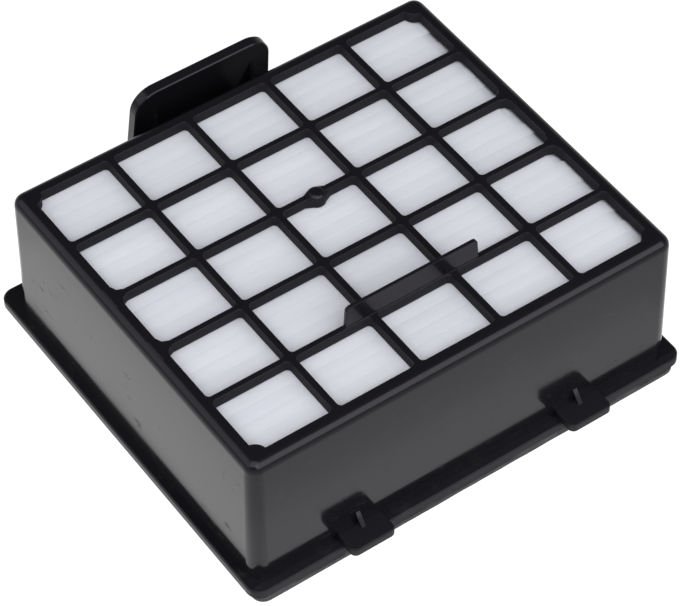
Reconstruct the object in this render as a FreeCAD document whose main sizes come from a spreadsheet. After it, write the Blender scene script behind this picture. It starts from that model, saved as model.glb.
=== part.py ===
import FreeCAD, Part
import math
import os
import re
import Sketcher

# Filter cassette of a vacuum cleaner: a moulded housing with a grid over a pleated pack, an adhesive
# frame that bonds the pack to the housing walls, and a foam seal under the flange.
# Millimetres. +Z is up and the cassette stands on its seal. +X runs along the long side, the two locking
# lugs are on the -Y side and the grip is on the +Y side. The origin is the middle of the footprint.

VECTOR = FreeCAD.Vector
TOLERANCE = 1e-4

# Driving dimensions: name, value, meaning. Angles are in degrees
DRIVING = (
    ("cells_x", 5, "grid openings along X"),
    ("cells_y", 5, "grid openings along Y"),
    ("cell_pitch_x", 25.0, "grid opening to grid opening along X"),
    ("cell_pitch_y", 21.17, "grid opening to grid opening along Y"),
    ("column_bar", 1.9, "width of a bar that runs along Y"),
    ("row_bar", 1.56, "width of a bar that runs along X"),
    ("grid_depth", 3.2, "height of the grid bars"),
    ("cell_corner", 1.2, "corner radius of a grid opening"),
    ("bar_flare", 2.6, "extra foot of the middle bars where they meet the end borders"),
    ("boss_reach", 2.9, "reach of the boss in each outer corner of the grid"),
    ("boss_round", 3.6, "radius of the inner face of that boss"),
    ("border_x", 4.2, "solid border outside the openings, at the ends"),
    ("border_y", 4.35, "solid border outside the openings, at the front and rear"),
    ("box_height", 44.0, "top of the flange to top of the grid"),
    ("box_corner", 3.4, "outer corner radius of the box at its top"),
    ("top_round", 3.0, "rounding of the top outer edge"),
    ("wall", 2.0, "wall thickness"),
    ("draft", 0.95, "draft of the walls"),
    ("lip_thickness", 2.8, "flange thickness"),
    ("lip_side", 2.56, "flange width at the ends"),
    ("lip_front", 3.7, "flange width at the lug side"),
    ("lip_rear", 6.7, "flange width at the grip side"),
    ("lip_corner", 4.0, "corner radius of the flange"),
    ("lip_break", 0.4, "bevel of the flange edges"),
    ("lug_spacing", 69.8, "lug to lug"),
    ("lug_width", 13.5, "lug width"),
    ("lug_overhang", 4.2, "lug beyond the flange"),
    ("lug_thickness", 2.3, "lug thickness"),
    ("lug_corner", 1.8, "outer corner radius of a lug"),
    ("lug_round", 0.5, "rounding of the top edge of a lug"),
    ("lug_rib_width", 1.3, "thickness of the rib on a lug"),
    ("lug_rib_height", 3.5, "rise of that rib up the wall"),
    ("lug_rib_reach", 2.8, "reach of that rib out from the wall"),
    ("fin_length", 41.8, "fin length at the bar"),
    ("fin_height", 6.9, "fin height above the grid"),
    ("fin_width", 1.0, "fin thickness"),
    ("fin_slant", 0.6, "how far each end of the fin leans in"),
    ("fin_corner", 1.2, "corner radius of the fin"),
    ("nub_radius", 2.65, "radius of the gate boss in the middle of the grid"),
    ("nub_rise", 0.45, "gate boss above the grid"),
    ("nub_round", 1.75, "rounding of the top of the gate boss"),
    ("nub_flare", 1.3, "flare of the bar on each side of the gate boss"),
    ("nub_flare_drop", 0.5, "top of those flares below the grid"),
    ("grip_width", 42.9, "grip width at its top"),
    ("grip_taper", 2.4, "taper of each side of the grip"),
    ("grip_thickness", 3.15, "grip thickness"),
    ("grip_rise", 2.66, "grip above the grid"),
    ("grip_gap", 7.3, "finger gap at the height of the grid"),
    ("grip_lean", 7.3, "lean of the grip towards the box"),
    ("grip_corner", 7.0, "corner radius of the grip"),
    ("grip_break", 0.3, "bevel of the grip edges"),
    ("grip_rib_spacing", 31.4, "rib to rib behind the grip"),
    ("grip_rib_width", 1.2, "thickness of those ribs"),
    ("grip_rib_drop", 7.0, "top of those ribs below the top of the grip"),
    ("tongue_margin", 1.5, "flange tongue beyond each side of the grip"),
    ("tongue_corner", 2.5, "corner radius of that tongue"),
    ("pack_gap", 0.3, "pleat tips to the grid"),
    ("pack_clearance", 1.0, "pack to the walls of the housing"),
    ("pleat_depth", 36.0, "height of the pleats"),
    ("pleat_count", 25, "number of pleats"),
    ("pleat_slit", 0.3, "slit between two pleat tips"),
    ("media_thickness", 0.9, "thickness of the folded sheet"),
    ("fold_round", 1.2, "outer radius of a fold"),
    ("bead_height", 5.0, "height of the adhesive frame"),
    ("seal_thickness", 2.75, "seal thickness"),
    ("seal_side_inset", 1.5, "flange edge to seal at the ends"),
    ("seal_front_inset", 0.45, "flange edge to seal at the lug side"),
    ("seal_rear_inset", 1.5, "flange edge to seal at the grip side"),
    ("seal_land", 0.4, "mouth of the housing to seal"),
)

# Sizes that follow from the driving dimensions: name, formula, meaning
DERIVED = (
    ("slope", "=tan(draft * 1 deg)", "draft as a slope"),
    ("lean_slope", "=tan(grip_lean * 1 deg)", "lean of the grip as a slope"),
    ("lip_top", "=seal_thickness + lip_thickness", "height of the flange top"),
    ("lug_top", "=lip_top + lug_thickness", "height of the lug tops"),
    ("grid_top", "=lip_top + box_height", "height of the grid top"),
    ("grid_under", "=grid_top - grid_depth", "height of the underside of the bars"),
    ("open_x", "=(cells_x * cell_pitch_x - column_bar) / 2", "half of the open area along X"),
    ("open_y", "=(cells_y * cell_pitch_y - row_bar) / 2", "half of the open area along Y"),
    ("box_x", "=open_x + border_x", "half of the box along X at its top"),
    ("box_y", "=open_y + border_y", "half of the box along Y at its top"),
    ("foot_x", "=box_x + box_height * slope", "half of the box along X at the flange"),
    ("foot_y", "=box_y + box_height * slope", "half of the box along Y at the flange"),
    ("lip_end", "=foot_x + lip_side", "flange edge along X"),
    ("lip_near", "=foot_y + lip_front", "flange edge at the lug side"),
    ("lip_far", "=foot_y + lip_rear", "flange edge at the grip side"),
    ("cavity_depth", "=grid_under - seal_thickness", "depth of the cavity"),
    ("cavity_x", "=box_x + grid_depth * slope - wall", "half of the cavity along X under the grid"),
    ("cavity_y", "=box_y + grid_depth * slope - wall", "half of the cavity along Y under the grid"),
    ("cavity_corner", "=min(box_corner - wall; 3 * pack_clearance)", "corner radius of the cavity"),
    ("mouth_grow", "=cavity_depth * slope", "growth of the cavity down to its mouth"),
    ("middle_bar", "=(ceil(cells_y / 2) - cells_y / 2) * cell_pitch_y", "a middle bar along Y"),
    ("front_bar", "=(1 - cells_y / 2) * cell_pitch_y", "the bar next to the lug side, along Y"),
    ("grip_top", "=grip_rise / cos(grip_lean * 1 deg)", "top of the grip, along its slope"),
    ("grip_foot", "=(box_height + lip_thickness / 2) / cos(grip_lean * 1 deg)", "its foot, along its slope"),
    ("grip_foot_x", "=grip_width / 2 + (grip_top + grip_foot) * tan(grip_taper * 1 deg)", "half of its foot"),
    ("grip_face", "=box_y + grip_gap", "inner face of the grip at the height of the grid"),
    ("rib_top", "=grid_top + grip_rise - grip_rib_drop", "height of the rib tops behind the grip"),
    ("rib_top_y", "=grip_face + (grid_top - rib_top) * lean_slope + grip_thickness / 2", "the same, along Y"),
    ("rib_foot_y", "=grip_face + box_height * lean_slope + grip_thickness / 2", "their feet, along Y"),
    ("grip_base", "=grip_face + (box_height + lip_thickness) * lean_slope", "foot of the grip's inner face"),
    ("rear_reach", "=grip_base + grip_thickness / cos(grip_lean * 1 deg)", "rearmost edge, under the grip"),
    ("front_reach", "=lip_near + lug_overhang", "foremost edge, at the lugs"),
    ("shift_y", "=(front_reach - rear_reach) / 2", "box centre from the middle of the footprint, along Y"),
    ("pack_x", "=cavity_x - pack_clearance", "half of the pack along X"),
    ("pack_y", "=cavity_y - pack_clearance", "half of the pack along Y"),
    ("pack_top", "=grid_under - pack_gap", "height of the pleat tips"),
    ("pack_bottom", "=pack_top - pleat_depth", "height of the lower folds"),
    ("pleat_pitch", "=2 * pack_y / pleat_count", "pleat to pleat"),
    ("pleat_outer", "=(pleat_pitch - pleat_slit) / 2", "half of a pleat outside"),
    ("pleat_inner", "=pleat_outer - media_thickness", "half of a pleat inside"),
    ("lower_fold", "=0.6 * (media_thickness + pleat_slit / 2)", "bevel of a lower fold"),
    ("bead_grow", "=(grid_under - pack_bottom) * slope", "growth of the cavity down to the adhesive"),
)


doc = FreeCAD.newDocument("vacuum_filter")
sizes = doc.addObject("Spreadsheet::Sheet", "Sizes")
for row, (name, content, meaning) in enumerate(DRIVING + DERIVED, start=1):
    sizes.set(f"A{row}", meaning)
    sizes.set(f"B{row}", str(content))
    sizes.setAlias(f"B{row}", name)
doc.recompute()
NAMES = {name for name, content, meaning in DRIVING + DERIVED}


def value(formula):
    """The number that a formula of sheet names gives now."""
    return float(sizes.evalExpression(formula))


def bound(formula):
    """The same formula, as an expression for another object of the document."""
    return re.sub("[a-z_]+", lambda word: "Sizes." + word[0] if word[0] in NAMES else word[0], formula)


def new_body(name):
    """A sub-part: its label names its file, and its place follows the middle of the footprint."""
    body = doc.addObject("PartDesign::Body", name)
    body.Label = name
    body.setExpression("Placement.Base.y", bound("shift_y"))
    return body


def origin_feature(body, role):
    return next(feature for feature in body.Origin.OriginFeatures if feature.Role == role)


def new_sketch(body, name, plane, offset="0"):
    """A sketch on one of the body's own origin planes, moved along the plane's normal."""
    sketch = body.newObject("Sketcher::SketchObject", name)
    sketch.AttachmentSupport = [(origin_feature(body, plane), "")]
    sketch.MapMode = "FlatFace"
    sketch.setExpression("AttachmentOffset.Base.z", bound(offset))
    return sketch


def dimension(sketch, kind, places, formula):
    """A driving dimension of a sketch, bound to a formula."""
    index = sketch.addConstraint(Sketcher.Constraint(kind, *places, value(formula)))
    sketch.setExpression(f"Constraints[{index}]", bound(formula))


def arc_between(point, following, radius, bulge):
    """The short arc that joins two points and bulges one way, always counter-clockwise."""
    chord = following - point
    across = VECTOR(-chord.y, chord.x, 0).normalize()
    if across.dot(bulge) > 0:
        across = -across
    centre = (point + following) / 2 + across * math.sqrt(radius ** 2 - chord.Length ** 2 / 4)
    start, end = (math.atan2(place.y - centre.y, place.x - centre.x) for place in (point, following))
    if (end - start) % math.tau > math.pi:
        start, end = end, start
    circle = Part.Circle(centre, VECTOR(0, 0, 1), radius)
    return Part.ArcOfCircle(circle, start, start + (end - start) % math.tau)


def draw_polygon(sketch, corners, arc=None):
    """A closed outline through corners that are given as pairs of formulas. One side can be an arc:
    the number of the side, its radius and the way it bulges."""
    first = sketch.GeometryCount
    points = [VECTOR(value(x), value(y), 0) for x, y in corners]
    count = len(points)
    starts = []
    for index, point in enumerate(points):
        following = points[(index + 1) % count]
        side = Part.LineSegment(point, following)
        if arc and index == arc[0]:
            side = arc_between(point, following, value(arc[1]), VECTOR(*arc[2], 0))
        starts.append(1 if side.StartPoint.isEqual(point, TOLERANCE) else 2)
        sketch.addGeometry(side)
    for index, (x, y) in enumerate(corners):
        following = (index + 1) % count
        sketch.addConstraint(Sketcher.Constraint(
            "Coincident", first + index, 3 - starts[index], first + following, starts[following]))
        dimension(sketch, "DistanceX", (-1, 1, first + index, starts[index]), x)
        dimension(sketch, "DistanceY", (-1, 1, first + index, starts[index]), y)
    if arc:
        dimension(sketch, "Radius", (first + arc[0],), arc[1])


def draw_rounded_rectangle(sketch, low_x, high_x, low_y, high_y, radius):
    """A rectangle with round corners, from its four sides and one radius."""
    first = sketch.GeometryCount
    left, right, front, rear, turn = (value(size) for size in (low_x, high_x, low_y, high_y, radius))
    corners = (
        (right - turn, front + turn, -90),
        (right - turn, rear - turn, 0),
        (left + turn, rear - turn, 90),
        (left + turn, front + turn, 180),
    )
    arcs = []
    for x, y, start in corners:
        circle = Part.Circle(VECTOR(x, y, 0), VECTOR(0, 0, 1), turn)
        arcs.append(Part.ArcOfCircle(circle, math.radians(start), math.radians(start + 90)))
    for index, arc in enumerate(arcs):
        sketch.addGeometry(Part.LineSegment(arcs[index - 1].EndPoint, arc.StartPoint))
        sketch.addGeometry(arc)
    for index in range(8):
        sketch.addConstraint(Sketcher.Constraint("Tangent", first + index, 2, first + (index + 1) % 8, 1))
    for index, way in enumerate(("Horizontal", "Vertical", "Horizontal", "Vertical")):
        sketch.addConstraint(Sketcher.Constraint(way, first + 2 * index))
    for index in (3, 5, 7):
        sketch.addConstraint(Sketcher.Constraint("Equal", first + 1, first + index))
    dimension(sketch, "Radius", (first + 1,), radius)
    dimension(sketch, "DistanceY", (-1, 1, first, 1), low_y)
    dimension(sketch, "DistanceX", (-1, 1, first + 2, 1), high_x)
    dimension(sketch, "DistanceY", (-1, 1, first + 4, 1), high_y)
    dimension(sketch, "DistanceX", (-1, 1, first + 6, 1), low_x)


def add_feature(body, kind, name, sketch, length, taper="0", reverse=False, both_ways=False):
    """A pad or a pocket of a sketch."""
    feature = body.newObject("PartDesign::" + kind, name)
    feature.Profile = sketch
    feature.Reversed = reverse
    feature.SideType = "Symmetric" if both_ways else "One side"
    feature.setExpression("Length", bound(length))
    feature.setExpression("TaperAngle", bound(taper))
    doc.recompute()
    return feature


def dress_edges(body, kind, name, size, chosen):
    """A fillet or a chamfer on those edges of the body so far that the test picks."""
    base = body.Tip
    edges = [f"Edge{index}" for index, edge in enumerate(base.Shape.Edges, start=1) if chosen(edge)]
    dressing = body.newObject("PartDesign::" + kind, name)
    dressing.Base = (base, edges)
    dressing.setExpression("Radius" if kind == "Fillet" else "Size", bound(size))
    doc.recompute()


def mirror(body, name, original, plane):
    copy = body.newObject("PartDesign::Mirrored", name)
    copy.Originals = [original]
    copy.MirrorPlane = (origin_feature(body, plane), [""])
    body.Tip = copy
    doc.recompute()


def repeat(body, name, originals, *rows):
    """Copies in one or two rows of an axis, a count and a spacing. No originals repeats the whole body."""
    pattern = body.newObject("PartDesign::LinearPattern", name)
    pattern.TransformMode = "Features" if originals else "Whole shape"
    pattern.Originals = originals
    for ending, (axis, count, spacing) in zip(("", "2"), rows):
        setattr(pattern, "Direction" + ending, (origin_feature(body, axis), [""]))
        setattr(pattern, "Mode" + ending, "Extent")
        pattern.setExpression("Occurrences" + ending, bound(count))
        pattern.setExpression("Length" + ending, bound(f"({count} - 1) * {spacing}"))
    body.Tip = pattern
    doc.recompute()


def at_height(edge, height):
    return all(abs(vertex.Z - height) < TOLERANCE for vertex in edge.Vertexes)


def upright(edge):
    return edge.Curve.TypeId == "Part::GeomLine" and abs(edge.Curve.Direction.z) > 1 - TOLERANCE


def at_y(edge, place):
    return all(abs(vertex.Y - place) < TOLERANCE for vertex in edge.Vertexes)


# Box: drafted walls with a rounded top edge
housing = new_body("housing")
outline = new_sketch(housing, "box_outline", "XY_Plane", "grid_top")
draw_rounded_rectangle(outline, "-box_x", "box_x", "-box_y", "box_y", "box_corner")
add_feature(housing, "Pad", "box_block", outline, "box_height", taper="draft", reverse=True)
dress_edges(housing, "Fillet", "top_edge", "top_round", lambda edge: at_height(edge, value("grid_top")))

# Flange at the foot of the box, with a tongue under the grip
outline = new_sketch(housing, "flange_outline", "XY_Plane", "lip_top")
draw_rounded_rectangle(outline, "-lip_end", "lip_end", "-lip_near", "lip_far", "lip_corner")
add_feature(housing, "Pad", "flange", outline, "lip_thickness", reverse=True)


def on_flange_rim(edge):
    middle = edge.CenterOfMass
    outside = abs(middle.x) > value("foot_x") or abs(middle.y) > value("foot_y")
    return outside and (at_height(edge, value("lip_top")) or at_height(edge, value("seal_thickness")))


dress_edges(housing, "Chamfer", "flange_rim", "lip_break", on_flange_rim)
outline = new_sketch(housing, "tongue_outline", "XY_Plane", "lip_top")
draw_polygon(outline, (
    ("-grip_foot_x - tongue_margin", "foot_y"),
    ("grip_foot_x + tongue_margin", "foot_y"),
    ("grip_foot_x + tongue_margin", "rear_reach"),
    ("-grip_foot_x - tongue_margin", "rear_reach"),
))
add_feature(housing, "Pad", "tongue", outline, "lip_thickness", reverse=True)
dress_edges(housing, "Fillet", "tongue_corners", "tongue_corner",
            lambda edge: upright(edge) and at_y(edge, value("rear_reach")))

# Locking lugs on top of the flange, each with a small rib to the wall
outline = new_sketch(housing, "lug_outline", "XY_Plane", "lip_top")
for side in ("-", ""):
    draw_polygon(outline, (
        (f"{side}lug_spacing / 2 - lug_width / 2", "-front_reach"),
        (f"{side}lug_spacing / 2 + lug_width / 2", "-front_reach"),
        (f"{side}lug_spacing / 2 + lug_width / 2", "-foot_y + wall / 2"),
        (f"{side}lug_spacing / 2 - lug_width / 2", "-foot_y + wall / 2"),
    ))
add_feature(housing, "Pad", "lugs", outline, "lug_thickness")
dress_edges(housing, "Fillet", "lug_corners", "lug_corner",
            lambda edge: upright(edge) and at_y(edge, -value("front_reach")))
dress_edges(housing, "Fillet", "lug_edges", "lug_round",
            lambda edge: at_height(edge, value("lug_top")) and edge.CenterOfMass.y < -value("lip_near"))
outline = new_sketch(housing, "lug_rib_outline", "YZ_Plane", "lug_spacing / 2")
draw_polygon(outline, (
    ("-foot_y + wall / 2", "lip_top"),
    ("-foot_y + wall / 2", "lug_top + lug_rib_height"),
    ("-foot_y", "lug_top + lug_rib_height"),
    ("-foot_y - lug_rib_reach", "lug_top"),
    ("-foot_y - lug_rib_reach", "lip_top"),
))
rib = add_feature(housing, "Pad", "lug_rib", outline, "lug_rib_width", both_ways=True)
mirror(housing, "lug_ribs", rib, "YZ_Plane")

# Grip: a plate on the tongue that leans towards the box, with two ribs behind the finger gap
outline = new_sketch(housing, "grip_outline", "XZ_Plane", "-grip_face")
outline.AttachmentOffset = FreeCAD.Placement(
    outline.AttachmentOffset.Base, FreeCAD.Rotation(VECTOR(1, 0, 0), value("grip_lean")))
outline.setExpression("AttachmentOffset.Rotation.Angle", bound("grip_lean * 1 deg"))
outline.setExpression("AttachmentOffset.Base.y", bound("grid_top"))
draw_polygon(outline, (
    ("-grip_foot_x", "-grip_foot"),
    ("grip_foot_x", "-grip_foot"),
    ("grip_width / 2", "grip_top"),
    ("-grip_width / 2", "grip_top"),
))
add_feature(housing, "Pad", "grip_plate", outline, "grip_thickness", reverse=True)


def behind_grip_face(point):
    """How far a point lies behind the inner face of the grip."""
    lean = math.radians(value("grip_lean"))
    return (point.Y - value("grip_face")) * math.cos(lean) + (point.Z - value("grid_top")) * math.sin(lean)


def across_grip_top(edge):
    depths = sorted(behind_grip_face(vertex) for vertex in edge.Vertexes)
    high = all(vertex.Z > value("grid_top") for vertex in edge.Vertexes)
    return high and abs(depths[0]) < TOLERANCE and abs(depths[-1] - value("grip_thickness")) < TOLERANCE


def on_grip_rim(edge):
    depths = [behind_grip_face(vertex) for vertex in edge.Vertexes]
    high = any(vertex.Z > value("lip_top") + TOLERANCE for vertex in edge.Vertexes)
    inner = all(abs(depth) < TOLERANCE for depth in depths)
    outer = all(abs(depth - value("grip_thickness")) < TOLERANCE for depth in depths)
    return high and (inner or outer)


dress_edges(housing, "Fillet", "grip_corners", "grip_corner", across_grip_top)
dress_edges(housing, "Chamfer", "grip_rim", "grip_break", on_grip_rim)
outline = new_sketch(housing, "grip_rib_outline", "YZ_Plane", "grip_rib_spacing / 2")
draw_polygon(outline, (
    ("foot_y", "lip_top - lip_thickness / 2"),
    ("rib_foot_y", "lip_top - lip_thickness / 2"),
    ("rib_top_y", "rib_top"),
    ("rib_top_y - grip_thickness / 2", "rib_top"),
    ("foot_y", "lip_top"),
))
rib = add_feature(housing, "Pad", "grip_rib", outline, "grip_rib_width", both_ways=True)
mirror(housing, "grip_ribs", rib, "YZ_Plane")

# Cavity from below, with the draft of the walls, so the wall keeps one thickness
outline = new_sketch(housing, "cavity_outline", "XY_Plane", "grid_under")
draw_rounded_rectangle(outline, "-cavity_x", "cavity_x", "-cavity_y", "cavity_y", "cavity_corner")
add_feature(housing, "Pocket", "cavity", outline, "cavity_depth", taper="draft")

# Grid: one opening, repeated along both sides
outline = new_sketch(housing, "cell_outline", "XY_Plane", "grid_top")
draw_rounded_rectangle(
    outline,
    "-open_x", "-open_x + cell_pitch_x - column_bar",
    "-open_y", "-open_y + cell_pitch_y - row_bar",
    "cell_corner",
)
cell = add_feature(housing, "Pocket", "cell", outline, "grid_depth + pack_gap")
repeat(
    housing, "grid", [cell],
    ("X_Axis", "cells_x", "cell_pitch_x"),
    ("Y_Axis", "cells_y", "cell_pitch_y"),
)

# Flared ends of the middle bars and a boss in each outer corner of the grid
outline = new_sketch(housing, "flare_outline", "XY_Plane", "grid_under")
upper = (
    ("open_x + border_x / 2", "middle_bar + row_bar / 2 + bar_flare"),
    ("open_x", "middle_bar + row_bar / 2 + bar_flare"),
    ("open_x - 0.3 * bar_flare", "middle_bar + row_bar / 2 + 0.3 * bar_flare"),
    ("open_x - bar_flare", "middle_bar + row_bar / 2"),
    ("open_x - bar_flare", "middle_bar + row_bar / 4"),
)
draw_polygon(
    outline,
    [(x, y) for x, y in upper]
    + [(f"-({x})", y) for x, y in reversed(upper)]
    + [(f"-({x})", f"2 * middle_bar - ({y})") for x, y in upper]
    + [(x, f"2 * middle_bar - ({y})") for x, y in reversed(upper)],
)
flare = add_feature(housing, "Pad", "flare", outline, "grid_depth")
mirror(housing, "flares", flare, "XZ_Plane")
outline = new_sketch(housing, "boss_outline", "XY_Plane", "grid_under")
for way_x in (-1, 1):
    for way_y in (-1, 1):
        draw_polygon(outline, [(f"{way_x} * ({x})", f"{way_y} * ({y})") for x, y in (
            ("open_x + border_x / 4", "open_y + border_y / 4"),
            ("open_x - boss_reach", "open_y + border_y / 4"),
            ("open_x - boss_reach", "open_y"),
            ("open_x", "open_y - boss_reach"),
            ("open_x + border_x / 4", "open_y - boss_reach"),
        )], arc=(2, "boss_round", (-way_x, -way_y)))
add_feature(housing, "Pad", "corner_bosses", outline, "grid_depth")

# Fin on the bar next to the lug side
outline = new_sketch(housing, "fin_outline", "XZ_Plane", "-front_bar")
draw_polygon(outline, (
    ("-fin_length / 2", "grid_top - grid_depth / 2"),
    ("fin_length / 2", "grid_top - grid_depth / 2"),
    ("fin_length / 2 - fin_slant", "grid_top + fin_height"),
    ("-fin_length / 2 + fin_slant", "grid_top + fin_height"),
))
add_feature(housing, "Pad", "fin", outline, "fin_width", both_ways=True)
fin_top = value("grid_top + fin_height")
dress_edges(housing, "Fillet", "fin_corners", "fin_corner",
            lambda edge: at_height(edge, fin_top) and edge.Length < 2 * value("fin_width"))

# Gate boss in the middle of the grid: the bar flares to it, and its top is round
outline = new_sketch(housing, "nub_flare_outline", "XY_Plane", "grid_under")
for way in (-1, 1):
    draw_polygon(outline, [(f"{way} * ({x})", f"middle_bar + ({y})") for x, y in (
        ("nub_radius + nub_flare", "-row_bar / 2"),
        ("nub_radius + nub_flare", "row_bar / 2"),
        ("0.6 * nub_radius", "0.75 * nub_radius"),
        ("0.6 * nub_radius", "-0.75 * nub_radius"),
    )])
add_feature(housing, "Pad", "nub_flares", outline, "grid_depth - nub_flare_drop")
outline = new_sketch(housing, "nub_outline", "XZ_Plane", "-middle_bar")
draw_polygon(outline, (
    ("0", "grid_under"),
    ("nub_radius", "grid_under"),
    ("nub_radius", "grid_top + nub_rise - nub_round"),
    ("nub_radius - nub_round", "grid_top + nub_rise"),
    ("0", "grid_top + nub_rise"),
), arc=(2, "nub_round", (1, 1)))
nub = housing.newObject("PartDesign::Revolution", "nub")
nub.Profile = outline
nub.ReferenceAxis = (outline, ["V_Axis"])
doc.recompute()

# Pleat pack: one pleat of the folded sheet, repeated along Y
pleat_pack = new_body("pleat_pack")
outline = new_sketch(pleat_pack, "pleat_outline", "YZ_Plane")
draw_polygon(outline, [(f"-pack_y + pleat_pitch / 2 + ({y})", z) for y, z in (
    ("-pleat_pitch / 2", "pack_bottom"),
    ("-pleat_inner", "pack_bottom"),
    ("-pleat_inner", "pack_top - media_thickness"),
    ("pleat_inner", "pack_top - media_thickness"),
    ("pleat_inner", "pack_bottom"),
    ("pleat_pitch / 2", "pack_bottom"),
    ("pleat_pitch / 2", "pack_bottom + media_thickness"),
    ("pleat_outer", "pack_bottom + media_thickness"),
    ("pleat_outer", "pack_top"),
    ("-pleat_outer", "pack_top"),
    ("-pleat_outer", "pack_bottom + media_thickness"),
    ("-pleat_pitch / 2", "pack_bottom + media_thickness"),
)])
add_feature(pleat_pack, "Pad", "pleat", outline, "2 * pack_x", both_ways=True)


def lengthwise(edge):
    return edge.Curve.TypeId == "Part::GeomLine" and abs(edge.Curve.Direction.x) > 1 - TOLERANCE


pleat_middle = value("-pack_y + pleat_pitch / 2")


def on_upper_fold(edge):
    return lengthwise(edge) and at_height(edge, value("pack_top"))


def on_lower_fold(edge):
    aside = abs(edge.CenterOfMass.y - pleat_middle)
    return lengthwise(edge) and at_height(edge, value("pack_bottom")) and aside < value("pleat_outer")


dress_edges(pleat_pack, "Fillet", "upper_folds", "fold_round", on_upper_fold)
dress_edges(pleat_pack, "Chamfer", "lower_folds", "lower_fold", on_lower_fold)
repeat(pleat_pack, "pleats", [], ("Y_Axis", "pleat_count", "pleat_pitch"))

# Adhesive frame: fills the space between the pack and the walls along the lower edge of the pack
potting = new_body("potting")
outline = new_sketch(potting, "frame_outline", "XY_Plane", "pack_bottom")
draw_rounded_rectangle(
    outline,
    "-cavity_x - bead_grow", "cavity_x + bead_grow", "-cavity_y - bead_grow", "cavity_y + bead_grow",
    "cavity_corner + bead_grow",
)
add_feature(potting, "Pad", "frame_block", outline, "bead_height", taper="-draft")
outline = new_sketch(potting, "pack_space", "XY_Plane", "pack_bottom + bead_height")
draw_polygon(outline, (
    ("-pack_x", "-pack_y"),
    ("pack_x", "-pack_y"),
    ("pack_x", "pack_y"),
    ("-pack_x", "pack_y"),
))
add_feature(potting, "Pocket", "frame_opening", outline, "bead_height")

# Seal: a flat foam ring under the flange
flange_seal = new_body("flange_seal")
outline = new_sketch(flange_seal, "seal_outline", "XY_Plane")
draw_rounded_rectangle(
    outline,
    "-lip_end + seal_side_inset", "lip_end - seal_side_inset",
    "-lip_near + seal_front_inset", "lip_far - seal_rear_inset",
    "lip_corner - seal_front_inset",
)
draw_rounded_rectangle(
    outline,
    "-cavity_x - mouth_grow - seal_land", "cavity_x + mouth_grow + seal_land",
    "-cavity_y - mouth_grow - seal_land", "cavity_y + mouth_grow + seal_land",
    "cavity_corner + mouth_grow + seal_land",
)
add_feature(flange_seal, "Pad", "seal_ring", outline, "seal_thickness")

# Check every object, then write one file for each sub-part
for item in doc.Objects:
    if "Invalid" in item.State or "Error" in item.State:
        raise RuntimeError(f"{item.Name} did not build: {item.State}")
os.makedirs("parts", exist_ok=True)
for part in (housing, pleat_pack, potting, flange_seal):
    if part.Shape.isNull() or not part.Shape.isValid() or len(part.Shape.Solids) != 1:
        raise RuntimeError(f"{part.Label} is not one sound solid")
    part.Shape.exportStep(f"parts/{part.Label}.step")
    print(part.Label, round(part.Shape.Volume / 1000, 1), "cubic centimetres")
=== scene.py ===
# %% [markdown]
# # A filter cassette for a vacuum cleaner
#
# The object is a black moulded box with a grid on top. Behind the grid stands a pack of folded white filter
# sheet, and a foam strip under the flange seals the cassette in its recess. The solids come from the CAD
# model. This lesson dresses them: it folds a real sheet, makes a soft foam strip, and gives every surface a
# finish.

# %% The fixed frame
import math

import bmesh
import bpy
from mathutils import Euler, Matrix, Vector, noise


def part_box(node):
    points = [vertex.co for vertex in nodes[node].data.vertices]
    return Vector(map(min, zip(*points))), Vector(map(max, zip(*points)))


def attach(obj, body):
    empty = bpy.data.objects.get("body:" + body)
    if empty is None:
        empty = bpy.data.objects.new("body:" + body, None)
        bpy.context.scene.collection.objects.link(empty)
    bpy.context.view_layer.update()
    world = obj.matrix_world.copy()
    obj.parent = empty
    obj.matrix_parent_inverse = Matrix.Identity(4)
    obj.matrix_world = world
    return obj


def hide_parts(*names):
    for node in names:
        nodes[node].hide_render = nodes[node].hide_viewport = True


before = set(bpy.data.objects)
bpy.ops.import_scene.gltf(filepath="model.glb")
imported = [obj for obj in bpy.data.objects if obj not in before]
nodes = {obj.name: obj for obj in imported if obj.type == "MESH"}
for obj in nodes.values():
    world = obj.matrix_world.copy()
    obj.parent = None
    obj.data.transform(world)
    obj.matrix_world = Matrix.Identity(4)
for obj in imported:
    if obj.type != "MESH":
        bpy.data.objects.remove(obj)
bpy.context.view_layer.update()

MM = 0.001
print("solids:", sorted(nodes))

# %% [markdown]
# ## Camera
#
# The cassette was photographed from the front left and well above, through a long lens. The long lens keeps
# opposite edges nearly parallel. The place and the aim below were measured from the corners of the grid,
# whose pitch is known from the solids.

# %% Camera
IMAGE_WIDTH = 680
FOCAL_PIXELS = 3198.9
CAMERA_PLACE = Vector((-319.48, -466.69, 658.11)) * MM
CAMERA_TURN = Euler([math.radians(degrees) for degrees in (41.186, 0.429, -35.098)])
camera_data = bpy.data.cameras.new("photo_camera")
camera_data.sensor_width = 36.0
camera_data.lens = camera_data.sensor_width * FOCAL_PIXELS / IMAGE_WIDTH
camera_data.clip_start = 0.05
camera_data.clip_end = 50.0
camera = bpy.data.objects.new("photo_camera", camera_data)
bpy.context.scene.collection.objects.link(camera)
camera.location = CAMERA_PLACE
camera.rotation_euler = CAMERA_TURN
bpy.context.scene.camera = camera
bpy.context.scene.view_settings.view_transform = "Standard"
print("lens", round(camera_data.lens, 1), "mm")

# %% [markdown]
# ## Small helpers for finishes
#
# Every finish is a node tree that starts from the place of a point on the piece (Object coordinates). A few
# helpers keep the trees short: they add a node, add a run from one colour to another, start a material, and
# put it on a piece.

# %% Finish helpers


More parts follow.
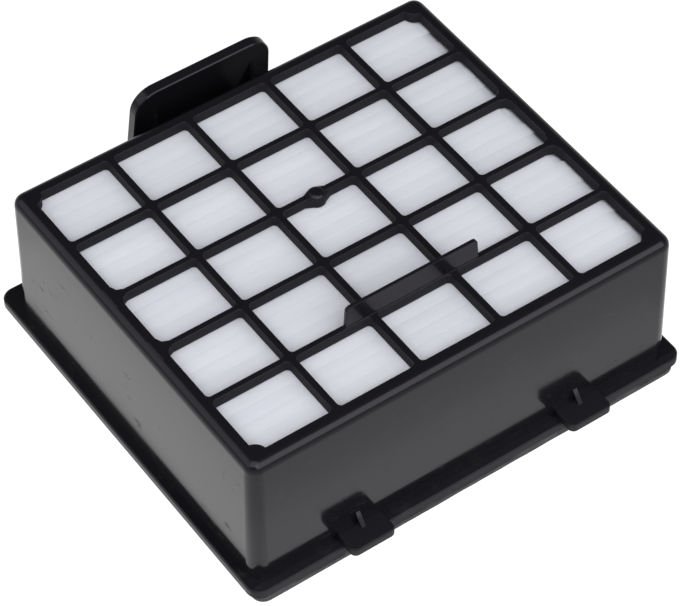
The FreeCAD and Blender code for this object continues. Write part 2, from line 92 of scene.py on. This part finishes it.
def add_node(tree, kind, inputs=(), **values):
    """A node of a tree. Inputs are (socket, node, output) or (socket, value); values go by their names."""
    node = tree.nodes.new(kind)
    for name, setting in values.items():
        label = name.replace("_", " ").title()
        if label in node.inputs:
            node.inputs[label].default_value = setting
        else:
            setattr(node, name, setting)
    for socket, source, *output in inputs:
        if output:
            tree.links.new(source.outputs[output[0]], node.inputs[socket])
        else:
            node.inputs[socket].default_value = source
    return node


def add_ramp(tree, source, from_colour, to_colour, start=0.0, end=1.0):
    """A colour that runs from one to the other while a noise goes from start to end."""
    ramp = add_node(tree, "ShaderNodeValToRGB", [("Fac", source, "Fac")])
    first, last = ramp.color_ramp.elements
    first.position = start
    first.color = (*from_colour, 1)
    last.position = end
    last.color = (*to_colour, 1)
    return ramp


def new_finish(name):
    """A material with a Principled shader, and the place of each point on the piece."""
    material = bpy.data.materials.new(name)
    material.use_nodes = True
    tree = material.node_tree
    shader = tree.nodes["Principled BSDF"]
    place = add_node(tree, "ShaderNodeTexCoord")
    return material, tree, shader, place


def coat(piece, material):
    """Puts one finish on a whole piece."""
    piece.data.materials.clear()
    piece.data.materials.append(material)


# %% [markdown]
# ## Black moulded plastic
#
# The housing is injection moulded in one shot from a black plastic. Its colour is nearly black, and the
# walls look grey only because they mirror the white table. The melt flows as it fills the mould, so the
# gloss drifts a little from place to place. Therefore the finish is a dark colour with a real gloss, slow
# changes of roughness, and a very fine grain in the bump.

# %% Black moulded plastic
plastic, tree, shader, place = new_finish("black_moulded_plastic")
drift = add_node(tree, "ShaderNodeTexNoise", [("Vector", place, "Object")], scale=38.0, detail=3.0)
grain = add_node(tree, "ShaderNodeTexNoise", [("Vector", place, "Object")], scale=2600.0, detail=2.0)
tint = add_ramp(tree, drift, from_colour=(0.0062, 0.0058, 0.0076), to_colour=(0.009, 0.0084, 0.0099))
shader.inputs["IOR"].default_value = 1.36
shader.inputs["Specular Tint"].default_value = (1.0, 0.96, 1.0, 1)
coat(nodes["housing"], plastic)
print("housing:", len(nodes["housing"].data.polygons), "faces")

# %% [markdown]
# The outer walls come from a polished part of the mould and mirror the flange. The sides of the grid bars
# come from inserts that are only eroded, so they are much duller. A box round the openings tells the two
# apart: a point is on a bar side if it lies inside the open area and below the top of the grid.

# %% Dull bar sides
HALF_OPEN = Vector((61.65, 52.25, 2.0)) * MM
OPEN_MIDDLE = Vector((0, -3.92, 47.35)) * MM
BAR_ROUGHNESS = 0.75
offset = add_node(tree, "ShaderNodeVectorMath", [(0, place, "Object"), (1, OPEN_MIDDLE)],
                  operation="SUBTRACT")
reach = add_node(tree, "ShaderNodeVectorMath", [(0, offset, "Vector")], operation="ABSOLUTE")
within = add_node(tree, "ShaderNodeVectorMath", [(0, reach, "Vector"), (1, HALF_OPEN)], operation="DIVIDE")
shares = add_node(tree, "ShaderNodeSeparateXYZ", [(0, within, "Vector")])
widest = add_node(tree, "ShaderNodeMath", [(0, shares, "X"), (1, shares, "Y")], operation="MAXIMUM")
farthest = add_node(tree, "ShaderNodeMath", [(0, widest, 0), (1, shares, "Z")], operation="MAXIMUM")
inside = add_node(tree, "ShaderNodeMath", [(0, farthest, 0), (1, 1.0)], operation="LESS_THAN")
dull = add_node(tree, "ShaderNodeMath", [(0, inside, 0), (1, BAR_ROUGHNESS)], operation="MULTIPLY")
print("bar sides lie within", [round(size / MM, 1) for size in HALF_OPEN], "mm of the middle of the openings")

# %% [markdown]
# The front rim with its lugs and the edge round the top lie between the polished walls and the bar sides.
# The rim is found by its place along Y and the top edge by its height. Where two of these meet, the duller
# one wins.

# %% Gloss of walls and rims
gloss = add_node(tree, "ShaderNodeMapRange", [("Value", drift, "Fac")],
                 from_min=0.35, from_max=0.65, to_min=0.1, to_max=0.15)
spot = add_node(tree, "ShaderNodeSeparateXYZ", [(0, place, "Object")])
front_rim = add_node(tree, "ShaderNodeMapRange", [("Value", spot, "Y")],
                     from_min=-62.5 * MM, from_max=-61.5 * MM, to_min=0.55, to_max=0.0)
crest = add_node(tree, "ShaderNodeMapRange", [("Value", spot, "Z")],
                 from_min=47 * MM, from_max=49 * MM, to_min=0.0, to_max=0.2)
either_rim = add_node(tree, "ShaderNodeMath", [(0, front_rim, "Result"), (1, crest, "Result")],
                      operation="MAXIMUM")
duller = add_node(tree, "ShaderNodeMath", [(0, either_rim, 0), (1, dull, 0)], operation="MAXIMUM")
roughness = add_node(tree, "ShaderNodeMath", [(0, gloss, "Result"), (1, duller, 0)], operation="MAXIMUM")
print("wall roughness up to", round(gloss.inputs["To Max"].default_value, 2))

# %% [markdown]
# No moulded edge is sharp. The bars are rounded at their tops by about half a millimetre, which the shader
# does by bending the normals near an edge. Low down and on the grip the edges are real ones, so there the
# bend fades out. A Mix node keeps its sockets for numbers, vectors and colours side by side, so they go by
# number.

# %% Rounded edges and grain
MIX_SHARE = 0
VECTOR_A, VECTOR_B, VECTOR_OUT = 4, 5, 1
upper_part = add_node(tree, "ShaderNodeMapRange", [("Value", spot, "Z")],
                      from_min=14 * MM, from_max=20 * MM, to_min=0.0, to_max=1.0)
box_part = add_node(tree, "ShaderNodeMapRange", [("Value", spot, "Y")],
                    from_min=53 * MM, from_max=54 * MM, to_min=1.0, to_max=0.0)
bend = add_node(tree, "ShaderNodeMath", [(0, upper_part, "Result"), (1, box_part, "Result")],
                operation="MULTIPLY")
rounding = add_node(tree, "ShaderNodeBevel", samples=6, radius=0.45 * MM)
flat = add_node(tree, "ShaderNodeNewGeometry")
normal = add_node(tree, "ShaderNodeMix",
                  [(MIX_SHARE, bend, 0), (VECTOR_A, flat, "Normal"), (VECTOR_B, rounding, "Normal")],
                  data_type="VECTOR")
bump = add_node(tree, "ShaderNodeBump", [("Height", grain, "Fac"), ("Normal", normal, VECTOR_OUT)],
                strength=0.08, distance=0.02 * MM)
tree.links.new(bump.outputs["Normal"], shader.inputs["Normal"])
print("edges rounded by", round(rounding.inputs["Radius"].default_value / MM, 2), "mm")

# %% [markdown]
# Handling leaves faint scuffs on the walls, where the gloss is rubbed dull and the black a little grey.
# They run nearly level, so their noise is stretched along X and Y, and only its peaks count. The top of the
# box stays clean.

# %% Scuffs on the walls
COLOUR_A, COLOUR_B, COLOUR_OUT = 6, 7, 2
RUBBED_GREY = (0.03, 0.028, 0.027, 1)
stretched = add_node(tree, "ShaderNodeMapping", [("Vector", place, "Object")], scale=(0.3, 0.3, 1.0))
rubbing = add_node(tree, "ShaderNodeTexNoise", [("Vector", stretched, "Vector")],
                   scale=330.0, detail=5.0, roughness=0.7)
peaks = add_node(tree, "ShaderNodeMapRange", [("Value", rubbing, "Fac")],
                 from_min=0.555, from_max=0.735, to_min=0.0, to_max=0.5)
walls = add_node(tree, "ShaderNodeMapRange", [("Value", spot, "Z")],
                 from_min=42 * MM, from_max=45 * MM, to_min=1.0, to_max=0.0)
scuffed = add_node(tree, "ShaderNodeMath", [(0, peaks, "Result"), (1, walls, "Result")], operation="MULTIPLY")
rubbed = add_node(tree, "ShaderNodeMix",
                  [(MIX_SHARE, scuffed, 0), (COLOUR_A, tint, "Color"), (COLOUR_B, RUBBED_GREY)],
                  data_type="RGBA")
tree.links.new(rubbed.outputs[COLOUR_OUT], shader.inputs["Base Color"])
worn = add_node(tree, "ShaderNodeMath", [(0, roughness, 0), (1, scuffed, 0)], operation="MAXIMUM")
tree.links.new(worn.outputs[0], shader.inputs["Roughness"])
print("scuffs up to roughness", round(peaks.inputs["To Max"].default_value, 2))

# %% [markdown]
# ## Folded filter sheet
#
# The pack is one long sheet of soft white nonwoven, folded like a fan. A block with grooves would look like
# it from above, but it would have no hollow backs and no cut ends. So the sheet is really folded, and its
# measures come first. Neighbouring pleats stand close together, and the crown of each fold is a wide, flat
# arch with small round shoulders.

# %% Measures of the folds
low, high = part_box("pleat_pack")
PLEATS = 25
SHEET = 0.9 * MM
SLIT = 0.004 * MM
TIP_ROUND = 0.012 * MM
CROWN_ROUND = 45 * MM
LOWER_ROUND = 0.55 * MM
QUARTER = math.radians(90)
pitch = (high.y - low.y) / PLEATS
outer_half = (pitch - SLIT) / 2
inner_half = outer_half - SHEET
crown_lean = math.asin((outer_half - TIP_ROUND) / (CROWN_ROUND - TIP_ROUND))
crown_centre = high.z - CROWN_ROUND
tip = crown_centre + (CROWN_ROUND - TIP_ROUND) * math.cos(crown_lean)
heel = low.z + LOWER_ROUND
half_way = (low.z + high.z) / 2
print("pitch of the pleats", round(pitch / MM, 2), "mm")

# %% [markdown]
# A single point is pulled up, turned over a fold, pulled down and turned under, pleat after pleat, as the
# folding machine does with the sheet. Two helpers do this: one draws the line straight on, the other draws
# it round a centre.

# %% Drawing a line by pulling and turning a point
bm = bmesh.new()
first_point = bm.verts.new((low.x, low.y, low.z + SHEET))


def pull_to(point, y=None, z=None):
    """Draws the line straight on, to a new place along Y or Z."""
    goal = Vector((low.x, point.co.y if y is None else y, point.co.z if z is None else z))
    made = bmesh.ops.extrude_vert_indiv(bm, verts=[point])["verts"]
    bmesh.ops.translate(bm, verts=made, vec=goal - point.co)
    return made[0]


def turn(point, y, z, angle, steps):
    """Draws the line on round a centre, about the X axis."""
    made = bmesh.ops.spin(bm, geom=[point], cent=(low.x, y, z), axis=(1, 0, 0), angle=angle, steps=steps)
    return next(item for item in made["geom_last"] if isinstance(item, bmesh.types.BMVert))


# %% [markdown]
# The line runs first along the upper face of the sheet, then back along its lower face, which closes the
# section. The crown of a fold is turned in three parts: a short one at either end keeps the shading of the
# shoulder from spreading over the crown.

# %% The section of the folded sheet
CROWN_END = 0.06
CROWN_PARTS = ((CROWN_END, 1), (2 - 2 * CROWN_END, 6), (CROWN_END, 1))
SHOULDER_STEPS = 4
HEEL_STEPS = 3
point = first_point
for pleat in range(PLEATS):
    centre = low.y + (pleat + 0.5) * pitch
    point = pull_to(point, y=centre - outer_half)
    point = pull_to(point, z=half_way)
    point = pull_to(point, z=tip)
    point = turn(point, centre - outer_half + TIP_ROUND, tip, crown_lean - QUARTER, SHOULDER_STEPS)
    for part, steps in CROWN_PARTS:
        point = turn(point, centre, crown_centre, -part * crown_lean, steps)
    point = turn(point, centre + outer_half - TIP_ROUND, tip, crown_lean - QUARTER, SHOULDER_STEPS)
    point = pull_to(point, z=half_way)
    point = pull_to(point, z=low.z + SHEET)
point = pull_to(point, y=high.y)
point = pull_to(point, z=low.z)
for pleat in reversed(range(PLEATS)):
    centre = low.y + (pleat + 0.5) * pitch
    point = pull_to(point, y=centre + inner_half + LOWER_ROUND)
    point = turn(point, centre + inner_half + LOWER_ROUND, heel, -QUARTER, HEEL_STEPS)
    point = pull_to(point, z=half_way)
    point = pull_to(point, z=high.z - SHEET)
    point = pull_to(point, y=centre - inner_half)
    point = pull_to(point, z=half_way)
    point = pull_to(point, z=heel)
    point = turn(point, centre - inner_half - LOWER_ROUND, heel, -QUARTER, HEEL_STEPS)
point = pull_to(point, y=low.y)
bm.edges.new((point, first_point))

# %% [markdown]
# The section is filled, drawn out along X in one pull, and cut crosswise into short strips, so that the
# pleats can wander.

# %% The folded sheet, drawn out
STRIPS = 60
section = bmesh.ops.contextual_create(bm, geom=bm.edges[:])["faces"]
drawn = bmesh.ops.extrude_face_region(bm, geom=section)["geom"]
far_end = [item for item in drawn if isinstance(item, bmesh.types.BMVert)]
bmesh.ops.translate(bm, verts=far_end, vec=(high.x - low.x, 0, 0))
lengthwise = [edge for edge in bm.edges if edge.verts[0].co.x != edge.verts[1].co.x]
bmesh.ops.subdivide_edges(bm, edges=lengthwise, cuts=STRIPS - 1, use_grid_fill=True)
bmesh.ops.recalc_face_normals(bm, faces=bm.faces)
print("drawn out over", round((high.x - low.x) / MM, 1), "mm in", STRIPS, "strips")

# %% [markdown]
# A machine-folded pack is never quite even: the folds wave, a few tips sit lower, and at the cut ends the
# tips close up and sink. Smooth noise moves the points, and neighbouring pleats move together. The noise is
# asked at places counted in waves per metre or in steps per pleat, and each use has a slice of it to
# itself.

# %% The folded sheet, loosened
WAVE = 0.2 * MM
WAVES_ALONG, WAVES_ACROSS, WAVE_SLICE = 30, 40, 3.1
SINK = 0.04 * MM
MEAN_SINK = 0.5
SINKS_ALONG, SINKS_PER_PLEAT, SINK_SLICE = 22, 1.7, 5.2
END_SINK = 1.5 * MM
END_REACH = 5.0 * MM
LEAST_RAGGED, MOST_RAGGED = 0.3, 1.7
RAGS_PER_PLEAT, RAGS_ALONG, RAG_SLICE = 2.3, 20, 1.7
TIPS_ONLY = 6
for vert in bm.verts:
    x, y, z = vert.co
    pleat = math.floor((y - low.y) / pitch)
    rise = max(0.0, (z - low.z) / (high.z - low.z))
    wave = noise.noise((x * WAVES_ALONG, y * WAVES_ACROSS, WAVE_SLICE))
    lowered = SINK * (MEAN_SINK + noise.noise((x * SINKS_ALONG, pleat * SINKS_PER_PLEAT, SINK_SLICE)))
    to_end = max(0.0, 1 - min(x - low.x, high.x - x) / END_REACH)
    torn = abs(noise.noise((pleat * RAGS_PER_PLEAT, x * RAGS_ALONG, RAG_SLICE)))
    ragged = LEAST_RAGGED + (MOST_RAGGED - LEAST_RAGGED) * torn
    vert.co.y = min(max(y + WAVE * rise * wave, low.y), high.y)
    vert.co.z = z - rise ** TIPS_ONLY * (max(0.0, lowered) + END_SINK * ragged * to_end ** 2)


def make_piece(name, bm, smooth=True):
    """An object at the origin, made from a finished bmesh."""
    mesh = bpy.data.meshes.new(name)
    bm.to_mesh(mesh)
    bm.free()
    for polygon in mesh.polygons:
        polygon.use_smooth = smooth
    piece = bpy.data.objects.new(name, mesh)
    bpy.context.scene.collection.objects.link(piece)
    return piece


filter_sheet = make_piece("filter_sheet", bm)
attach(filter_sheet, "root")
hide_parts("pleat_pack")
print("filter sheet:", len(filter_sheet.data.polygons), "faces")

# %% [markdown]
# ## White nonwoven
#
# The sheet is a felt of fine white fibres. Some of the light goes into it and comes out a little further
# on, so a part of the shader scatters light below the surface. Fibres lie mostly along the folds, so the
# noise for colour and bump is stretched along X and shows as faint streaks.

# %% White nonwoven
nonwoven, tree, shader, place = new_finish("white_nonwoven")
along = add_node(tree, "ShaderNodeMapping", [("Vector", place, "Object")], scale=(0.12, 1.0, 1.0))
fibre = add_node(tree, "ShaderNodeTexNoise", [("Vector", along, "Vector")],
                 scale=2400.0, detail=4.0, roughness=0.6)
cloud = add_node(tree, "ShaderNodeTexNoise", [("Vector", along, "Vector")], scale=180.0, detail=3.0)
tone = add_ramp(tree, cloud, from_colour=(0.75, 0.76, 0.775), to_colour=(0.805, 0.808, 0.818),
                start=0.3, end=0.7)
tree.links.new(tone.outputs["Color"], shader.inputs["Base Color"])
bump = add_node(tree, "ShaderNodeBump", [("Height", fibre, "Fac")], strength=0.35, distance=0.05 * MM)
tree.links.new(bump.outputs["Normal"], shader.inputs["Normal"])
shader.inputs["Roughness"].default_value = 0.95
shader.inputs["Subsurface Weight"].default_value = 0.3
shader.inputs["Subsurface Radius"].default_value = (1.0, 1.0, 1.0)
shader.inputs["Subsurface Scale"].default_value = 0.12 * MM
shader.inputs["Specular IOR Level"].default_value = 0.15
coat(filter_sheet, nonwoven)
print("finish of the sheet:", nonwoven.name)

# %% [markdown]
# ## Foam seal
#
# The seal is a strip of dark closed-cell foam, cut as a frame and stuck under the flange. It starts from
# two rounded outlines, each a bevelled square. The long sides are cut into short edges, so that they can
# wander later.

# %% Outlines of the foam seal
seal_low, seal_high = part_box("flange_seal")
INNER_LEFT = -64.93 * MM
INNER_RIGHT = 64.93 * MM
INNER_FRONT = -59.59 * MM
INNER_REAR = 51.75 * MM
OUTER_CORNER = 3.5 * MM
INNER_CORNER = 2.5 * MM
LONG_SIDE = 20 * MM
SIDE_CUTS = 90
bm = bmesh.new()


def rounded_outline(left, right, front, rear, radius):
    """A rectangle with round corners, on the floor."""
    square = bmesh.ops.create_grid(bm, x_segments=1, y_segments=1, size=0.5)["verts"]
    bmesh.ops.scale(bm, verts=square, vec=(right - left, rear - front, 1))
    bmesh.ops.translate(bm, verts=square, vec=((left + right) / 2, (front + rear) / 2, 0))
    bmesh.ops.bevel(bm, geom=square, offset=radius, segments=6, profile=0.5, affect="VERTICES", material=-1)


rounded_outline(seal_low.x, seal_high.x, seal_low.y, seal_high.y, OUTER_CORNER)
rounded_outline(INNER_LEFT, INNER_RIGHT, INNER_FRONT, INNER_REAR, INNER_CORNER)
bmesh.ops.delete(bm, geom=bm.faces[:], context="FACES_ONLY")
sides = [edge for edge in bm.edges if edge.calc_length() > LONG_SIDE]
bmesh.ops.subdivide_edges(bm, edges=sides, cuts=SIDE_CUTS)
print("outlines:", len(bm.edges), "edges")

# %% [markdown]
# The outlines are bridged to a flat ring, which is pulled up to its thickness and rounded at its edges. Cut
# edges of foam are soft and slightly uneven, and in places the upper rim sags away from the flange. Smooth
# noise loosens the cut and lowers the rim.

# %% The ring of foam
CUT_ROUND = 0.35 * MM
CUT_WANDER = 0.12 * MM
LUMPS_ALONG, LUMPS_UP = 180, 300
SHARP = math.radians(60)
RIM = 1.0 * MM
RIM_SAG = 1.6 * MM
SAG_START = 0.05
SAGS_ALONG, SAG_SLICE = 60, 8.3
ring = bmesh.ops.bridge_loops(bm, edges=bm.edges[:])["faces"]
raised = bmesh.ops.extrude_face_region(bm, geom=ring, use_keep_orig=True)["geom"]
raised_points = [item for item in raised if isinstance(item, bmesh.types.BMVert)]
bmesh.ops.translate(bm, verts=raised_points, vec=(0, 0, seal_high.z - seal_low.z))
bmesh.ops.recalc_face_normals(bm, faces=bm.faces)
rims = [edge for edge in bm.edges if edge.is_manifold and edge.calc_face_angle() > SHARP]
bmesh.ops.bevel(bm, geom=rims, offset=CUT_ROUND, segments=3, profile=0.5, affect="EDGES", material=-1)
for vert in bm.verts:
    x, y, z = vert.co
    inward = noise.noise((x * LUMPS_ALONG, y * LUMPS_ALONG, z * LUMPS_UP))
    in_from_edge = min(x - seal_low.x, seal_high.x - x, y - seal_low.y, seal_high.y - y)
    if in_from_edge < RIM and z > (seal_low.z + seal_high.z) / 2:
        sag = noise.noise((x * SAGS_ALONG, y * SAGS_ALONG, SAG_SLICE))
        vert.co.z -= RIM_SAG * max(0.0, sag - SAG_START)
    vert.co += Vector((-x, -y, 0)).normalized() * CUT_WANDER * abs(inward)
foam_seal = make_piece("foam_seal", bm)
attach(foam_seal, "root")
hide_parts("flange_seal")
print("foam seal:", len(foam_seal.data.polygons), "faces")

# %% [markdown]
# ## Foam finish
#
# Closed-cell foam is dull and finely pitted where it is cut. A cell pattern in the bump gives the pits, and
# the colour changes softly. Along the upper rim, where the foam meets the flange, painted shade darkens the
# colour in stretches.

# %% Foam finish
# Painted shade: the colour of the dark joint shadow under the flange.
JOINT_SHADE_BLACK = (0.006, 0.006, 0.006, 1)
foam, tree, shader, place = new_finish("dark_foam")
cells = add_node(tree, "ShaderNodeTexVoronoi", [("Vector", place, "Object")], scale=2200.0)
dust = add_node(tree, "ShaderNodeTexNoise", [("Vector", place, "Object")], scale=240.0, detail=4.0)
shade = add_ramp(tree, dust, from_colour=(0.05, 0.05, 0.051), to_colour=(0.1, 0.098, 0.096),
                 start=0.35, end=0.75)
spot = add_node(tree, "ShaderNodeSeparateXYZ", [(0, place, "Object")])
# The painted shade lies high on the rim, where the foam meets the flange, and only in stretches.
upper_rim = add_node(tree, "ShaderNodeMapRange", [("Value", spot, "Z")],
                     from_min=1.3 * MM, from_max=1.7 * MM, to_min=0.0, to_max=1.0)
spread = add_node(tree, "ShaderNodeTexNoise", [("Vector", place, "Object")], scale=55.0, detail=2.0)
shade_stretches = add_node(tree, "ShaderNodeMapRange", [("Value", spread, "Fac")],
                    from_min=0.44, from_max=0.52, to_min=0.0, to_max=0.85)
painted_joint_shade = add_node(tree, "ShaderNodeMath", [(0, upper_rim, "Result"), (1, shade_stretches, "Result")],
                     operation="MULTIPLY")
rim_shade = add_node(tree, "ShaderNodeMix",
                     [(MIX_SHARE, painted_joint_shade, 0), (COLOUR_A, shade, "Color"), (COLOUR_B, JOINT_SHADE_BLACK)],
                     data_type="RGBA")
tree.links.new(rim_shade.outputs[COLOUR_OUT], shader.inputs["Base Color"])
bump = add_node(tree, "ShaderNodeBump", [("Height", cells, "Distance")], strength=0.5, distance=0.1 * MM)
tree.links.new(bump.outputs["Normal"], shader.inputs["Normal"])
shader.inputs["Roughness"].default_value = 0.85
coat(foam_seal, foam)
print("finish of the seal:", foam.name)

# %% [markdown]
# ## Adhesive frame
#
# A bead of set adhesive bonds the lower edge of the pack to the walls. It is poured, so it is smooth and a
# bit wavy, with a waxy gloss and a yellowish tone that clouds slightly.

# %% Adhesive frame
adhesive, tree, shader, place = new_finish("set_adhesive")
cloud = add_node(tree, "ShaderNodeTexNoise", [("Vector", place, "Object")], scale=120.0, detail=3.0)
tone = add_ramp(tree, cloud, from_colour=(0.55, 0.5, 0.38), to_colour=(0.72, 0.68, 0.56))
tree.links.new(tone.outputs["Color"], shader.inputs["Base Color"])
bump = add_node(tree, "ShaderNodeBump", [("Height", cloud, "Fac")], strength=0.5, distance=0.4 * MM)
tree.links.new(bump.outputs["Normal"], shader.inputs["Normal"])
shader.inputs["Roughness"].default_value = 0.35
coat(nodes["potting"], adhesive)
print("finish of the adhesive:", adhesive.name)

# %% [markdown]
# ## Table
#
# The cassette stands on a white table that runs out of the picture on all sides. The gloss of the plastic
# shows a lot of it, so its brightness matters. That brightness is painted into the glow of the table: a
# painted pool of light, brightest on the left, that dims with the distance from the cassette, and a painted
# shadow close to the flange, where little light gets in. A curve holds the painted brightness over the
# distance from the foot of the cassette.

# %% Table, as the gloss shows it
# Painted light and shade: a painted shadow in the first millimetres from the foot of the cassette, then a
# painted pool of light that dims further out.
FALLOFF = [(0.0, 0.6), (0.0025, 0.65), (0.0045, 1.0), (0.012, 0.98),
           (0.02, 0.83), (0.028, 0.75), (0.1, 0.62), (0.2, 0.52)]
FALLOFF_END = FALLOFF[-1][0]
BRIGHT_PLACE = (-0.12, 0.05, 0.0)
HALF_FOOT = (0.069, 0.065, 0.0)
bm = bmesh.new()
bmesh.ops.create_circle(bm, cap_ends=True, segments=64, radius=3.0)
table = make_piece("table", bm, smooth=False)
table_white = bpy.data.materials.new("table_white")
table_white.use_nodes = True
tree = table_white.node_tree
tree.nodes.clear()
place = add_node(tree, "ShaderNodeTexCoord")
# The painted pool of light is brightest round a place on the left.
from_left = add_node(tree, "ShaderNodeVectorMath", [(0, place, "Object"), (1, BRIGHT_PLACE)],
                     operation="DISTANCE")
pool = add_node(tree, "ShaderNodeMapRange", [("Value", from_left, "Value")],
                from_min=0.06, from_max=0.24, to_min=1.42, to_max=1.1)
aside = add_node(tree, "ShaderNodeVectorMath", [(0, place, "Object")], operation="ABSOLUTE")
beyond = add_node(tree, "ShaderNodeVectorMath", [(0, aside, "Vector"), (1, HALF_FOOT)], operation="SUBTRACT")
outside = add_node(tree, "ShaderNodeVectorMath", [(0, beyond, "Vector"), (1, (0.0, 0.0, 0.0))],
                   operation="MAXIMUM")
away = add_node(tree, "ShaderNodeVectorMath", [(0, outside, "Vector")], operation="LENGTH")
away_share = add_node(tree, "ShaderNodeMapRange", [("Value", away, "Value")], from_max=FALLOFF_END)
falloff = add_node(tree, "ShaderNodeFloatCurve", [("Value", away_share, "Result")])
falloff_curve = falloff.mapping.curves[0]
for distance, brightness in FALLOFF[1:-1]:
    falloff_curve.points.new(distance / FALLOFF_END, brightness)
falloff_curve.points[0].location = (0.0, FALLOFF[0][1])
falloff_curve.points[-1].location = (1.0, FALLOFF[-1][1])
falloff.mapping.update()
painted_pool_and_shadow = add_node(tree, "ShaderNodeMath", [(0, pool, "Result"), (1, falloff, "Value")],
                    operation="MULTIPLY")
print("table brightness follows", len(falloff_curve.points), "points")

# %% [markdown]
# To the camera the table has to look white and still keep the soft shadow under the flange. So the camera
# sees a mix of plain white light and a white painted surface that takes the shadow. For the light that
# falls on the cassette, only the painted surface counts.

# %% Table, as the camera sees it
NUMBER_A, NUMBER_B, NUMBER_OUT = 2, 3, 0
CAMERA_WHITE = 1.2
LIGHT_SHARE = 0.85
seen = add_node(tree, "ShaderNodeLightPath")
either = add_node(tree, "ShaderNodeMath", [(0, seen, "Is Camera Ray"), (1, seen, "Is Glossy Ray")],
                  operation="MAXIMUM")
any_ray = add_node(tree, "ShaderNodeMath", [(0, either, 0), (1, seen, "Is Transmission Ray")],
                   operation="MAXIMUM")
share = add_node(tree, "ShaderNodeMath", [(0, any_ray, 0), (1, LIGHT_SHARE)], operation="MULTIPLY")
# Glossy and transmission rays see the painted pool of light and painted shadow, and the camera sees plain
# white.
strength = add_node(tree, "ShaderNodeMix",
                    [(MIX_SHARE, seen, "Is Camera Ray"), (NUMBER_A, painted_pool_and_shadow, 0), (NUMBER_B, CAMERA_WHITE)],
                    data_type="FLOAT")
paint = add_node(tree, "ShaderNodeBsdfDiffuse", color=(0.85, 0.85, 0.85, 1))
white = add_node(tree, "ShaderNodeEmission", [("Strength", strength, NUMBER_OUT)])
mixed = add_node(tree, "ShaderNodeMixShader", [(0, share, 0), (1, paint, 0), (2, white, 0)])
add_node(tree, "ShaderNodeOutputMaterial", [("Surface", mixed, 0)])
coat(table, table_white)
print("finish of the table:", table_white.name)

# %% [markdown]
# ## Light
#
# Three soft lamps light the cassette. A large one hangs above the front left. A lower, wider one in front
# draws the light line along the front edge of the top, and a weak one on the left does the same for the
# left edge, so that the line runs on round the corner.

# %% Lamps
LAMP_COLOUR = (0.92, 0.93, 1.0)
AIM = Vector((0, 0, 0.03))


def soft_lamp(name, place, width, height, power):
    """A rectangular soft lamp that points at the cassette."""
    data = bpy.data.lights.new(name, "AREA")
    data.shape = "RECTANGLE"
    data.size = width
    data.size_y = height
    data.energy = power
    data.color = LAMP_COLOUR
    lamp = bpy.data.objects.new(name, data)
    bpy.context.scene.collection.objects.link(lamp)
    lamp.location = place
    lamp.rotation_euler = (AIM - Vector(place)).to_track_quat("-Z", "Y").to_euler()


soft_lamp("key_lamp", (-0.5, -0.45, 1.3), width=1.5, height=1.4, power=12.1)
soft_lamp("front_lamp", (0.23, -1.085, 0.87), width=1.75, height=1.13, power=15.0)
soft_lamp("left_lamp", (-0.97, 0.43, 0.75), width=1.5, height=1.0, power=4.8)

# %% [markdown]
# Low down the room is a little lighter, as its walls catch some of the light. Higher up it stays dark,
# which keeps the top of the grid black, as a black top only shows what it mirrors.

# %% Room
world = bpy.data.worlds.new("room")
bpy.context.scene.world = world
world.use_nodes = True
world_tree = world.node_tree
background = world_tree.nodes["Background"]
background.inputs["Color"].default_value = (0.95, 0.94, 1, 1)
direction = add_node(world_tree, "ShaderNodeTexCoord")
upward = add_node(world_tree, "ShaderNodeSeparateXYZ", [(0, direction, "Generated")])
haze = add_node(world_tree, "ShaderNodeMapRange", [("Value", upward, "Z")], interpolation_type="SMOOTHSTEP",
                from_min=0.12, from_max=0.4, to_min=0.42, to_max=0.09)
world_tree.links.new(haze.outputs["Result"], background.inputs["Strength"])
print("room light from", round(haze.inputs["To Min"].default_value, 2), "low down")
